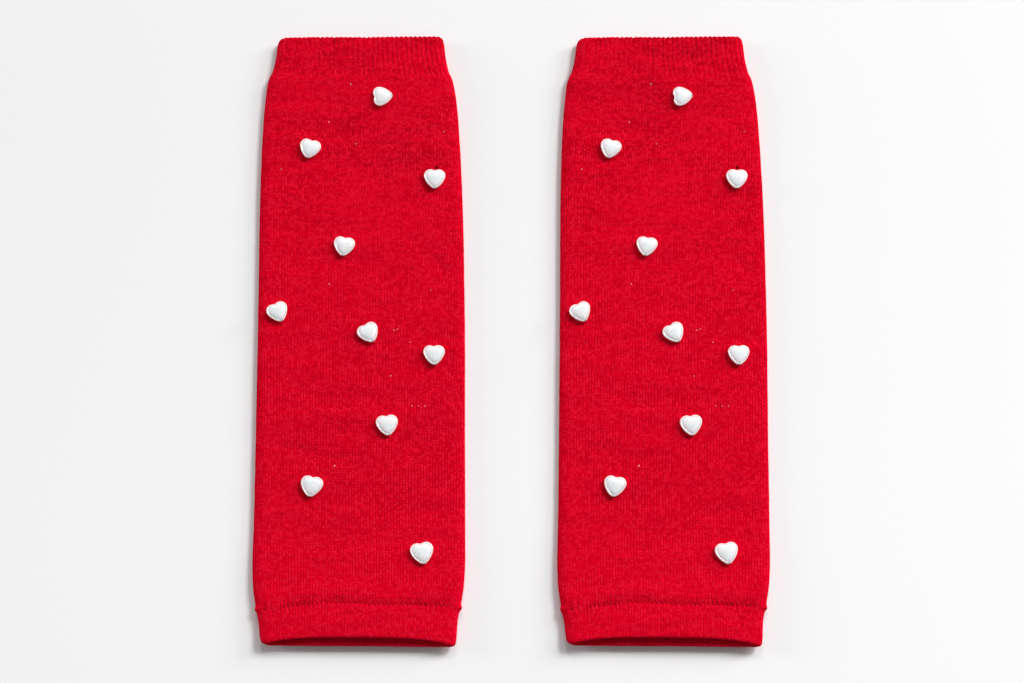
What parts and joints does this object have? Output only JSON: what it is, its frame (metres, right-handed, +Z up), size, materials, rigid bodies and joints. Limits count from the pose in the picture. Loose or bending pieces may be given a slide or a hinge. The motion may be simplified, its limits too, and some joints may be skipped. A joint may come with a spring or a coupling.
{
  "type": "pair of leg warmers",
  "caption": "Pair of fine-knit tube leg warmers with turned double welts and hems and puffed heart beads, laid flat side by side, for warming small legs.",
  "frame": {"origin": "middle of the pair, on the surface it lies on", "axes": "+X across the pair towards the right leg warmer, +Y along the leg warmers from their open hems to their top welts, +Z up from the surface"},
  "size_m": [0.2448, 0.3009, 0.0076],
  "materials": {
    "red_knit": "fine single-jersey knit in soft red yarn, slightly fuzzy, mock-ribbed at the welts and hems",
    "pearl": "moulded bead with a glossy white pearl coat and a faint pink and green lustre"
  },
  "bodies": {
    "root": {"left_tube": "red_knit", "left_welt": "red_knit", "left_hem": "red_knit", "left_heart_01": "pearl", "left_heart_02": "pearl", "left_heart_03": "pearl", "left_heart_04": "pearl", "left_heart_05": "pearl", "left_heart_06": "pearl", "left_heart_07": "pearl", "left_heart_08": "pearl", "left_heart_09": "pearl", "left_heart_10": "pearl", "right_tube": "red_knit", "right_welt": "red_knit", "right_hem": "red_knit", "right_heart_01": "pearl", "right_heart_02": "pearl", "right_heart_03": "pearl", "right_heart_04": "pearl", "right_heart_05": "pearl", "right_heart_06": "pearl", "right_heart_07": "pearl", "right_heart_08": "pearl", "right_heart_09": "pearl", "right_heart_10": "pearl"}
  },
  "joints": []
}
